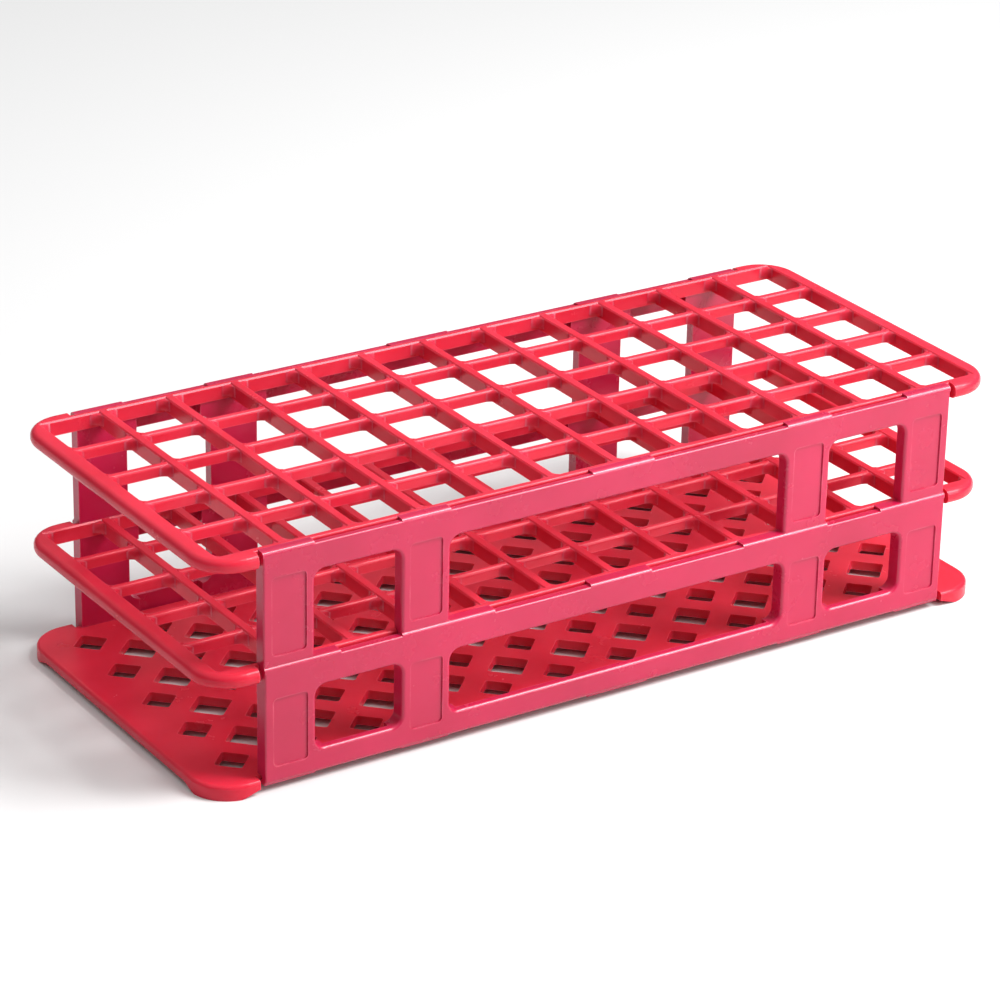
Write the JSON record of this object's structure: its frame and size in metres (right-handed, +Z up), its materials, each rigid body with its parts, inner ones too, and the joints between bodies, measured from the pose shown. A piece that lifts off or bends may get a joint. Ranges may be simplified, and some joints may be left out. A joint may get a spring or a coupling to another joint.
{
  "type": "test tube holder",
  "caption": "Snap-together bench rack for test tubes: two open grid plates over a perforated base, held by two windowed side panels.",
  "frame": {"origin": "centre of the footprint, on the table under the feet", "axes": "+X along the rack, -Y towards the front panel, +Z up"},
  "size_m": [0.246, 0.105, 0.0666],
  "materials": {
    "plate_plastic": "satin moulded red polypropylene, slightly translucent, with a fine moulded grain",
    "panel_plastic": "the same red polypropylene on the side panels, with a smoother satin face"
  },
  "bodies": {
    "root": {"top_plate_rim": "plate_plastic", "top_plate_cross_ribs": "plate_plastic", "top_plate_long_ribs": "plate_plastic", "middle_plate_rim": "plate_plastic", "middle_plate_cross_ribs": "plate_plastic", "middle_plate_long_ribs": "plate_plastic", "base_plate": "plate_plastic", "front_panel": "panel_plastic", "rear_panel": "panel_plastic"}
  },
  "joints": []
}
